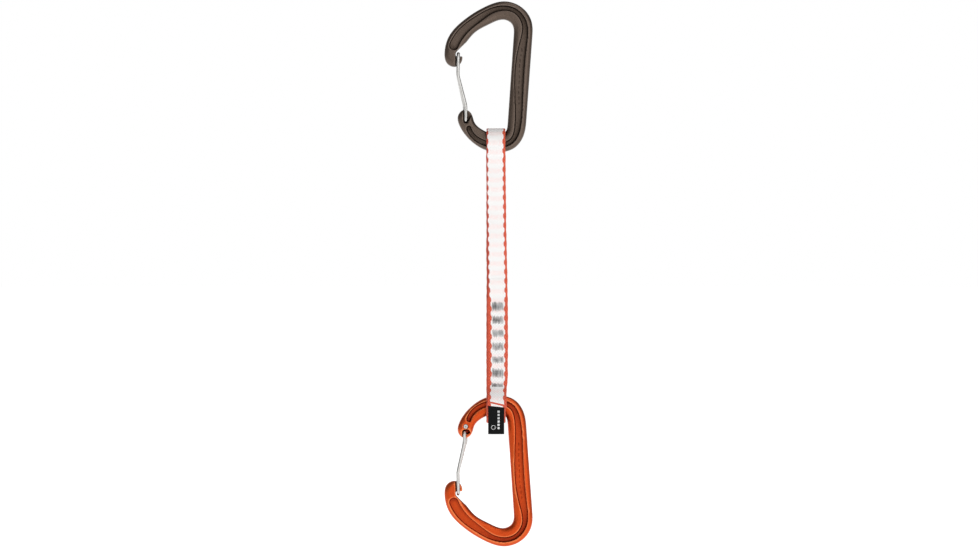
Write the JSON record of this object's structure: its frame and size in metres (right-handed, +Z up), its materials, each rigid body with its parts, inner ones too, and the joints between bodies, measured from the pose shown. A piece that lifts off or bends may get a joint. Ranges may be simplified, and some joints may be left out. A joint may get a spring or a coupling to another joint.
{
  "type": "climbing quickdraw",
  "caption": "Climbing quickdraw: a wire-gate carabiner at each end of a narrow sewn webbing sling, hanging straight down.",
  "frame": {"origin": "inside of the upper carabiner's crown, where a bolt hanger bears", "axes": "+Z up along the hanging draw, +X from the gates to the spines, +Y across the thickness, from the front face to the rear"},
  "size_m": [0.0513, 0.0172, 0.3165],
  "materials": {
    "bolt_anodised": "grey-brown anodised, satin",
    "rope_anodised": "orange anodised, satin",
    "gate_steel": "polished stainless wire",
    "webbing": "woven white webbing with red-orange edges",
    "stitching": "grey bar-tack thread",
    "label": "black woven label"
  },
  "bodies": {
    "bolt_carabiner": {"bolt_carabiner_frame": "bolt_anodised"},
    "bolt_gate": {"bolt_gate_wire": "gate_steel"},
    "sling_loop": {"sling_upper_loop": "webbing"},
    "sling_neck": {"sling_strands": "webbing"},
    "sling_leg": {"sling_sewn_leg": "webbing", "bartack_1": "stitching", "bartack_2": "stitching", "bartack_3": "stitching", "bartack_4": "stitching", "bartack_5": "stitching", "bartack_6": "stitching", "bartack_7": "stitching", "label_tab": "label"},
    "rope_carabiner": {"rope_carabiner_frame": "rope_anodised"},
    "rope_gate": {"rope_gate_wire": "gate_steel"}
  },
  "joints": [
    {"name": "bolt_gate_hinge", "type": "hinge", "parent": "bolt_carabiner", "child": "bolt_gate", "pos_m": [-0.0223, 0, -0.059], "axis": [0, 1, 0], "range_deg": [0, 30], "stiffness_Nm_per_rad": 0.12, "springref_deg": -45.84},
    {"name": "sling_swing", "type": "hinge", "parent": "bolt_carabiner", "child": "sling_loop", "pos_m": [-0.0048, 0, -0.0708], "axis": [1, 0, 0], "range_deg": [-110, 110]},
    {"name": "sling_twist", "type": "hinge", "parent": "sling_loop", "child": "sling_neck", "pos_m": [-0.0048, 0, -0.112], "axis": [0, 0, 1], "range_deg": [-180, 180], "stiffness_Nm_per_rad": 0.0005},
    {"name": "sling_fold", "type": "hinge", "parent": "sling_neck", "child": "sling_leg", "pos_m": [-0.0048, 0, -0.163], "axis": [1, 0, 0], "range_deg": [-90, 90]},
    {"name": "rope_swing", "type": "hinge", "parent": "sling_leg", "child": "rope_carabiner", "pos_m": [-0.0048, 0, -0.2243], "axis": [1, 0, 0], "range_deg": [-110, 110]},
    {"name": "rope_gate_hinge", "type": "hinge", "parent": "rope_carabiner", "child": "rope_gate", "pos_m": [-0.0223, 0, -0.2361], "axis": [0, -1, 0], "range_deg": [0, 30], "stiffness_Nm_per_rad": 0.12, "springref_deg": -45.84}
  ]
}
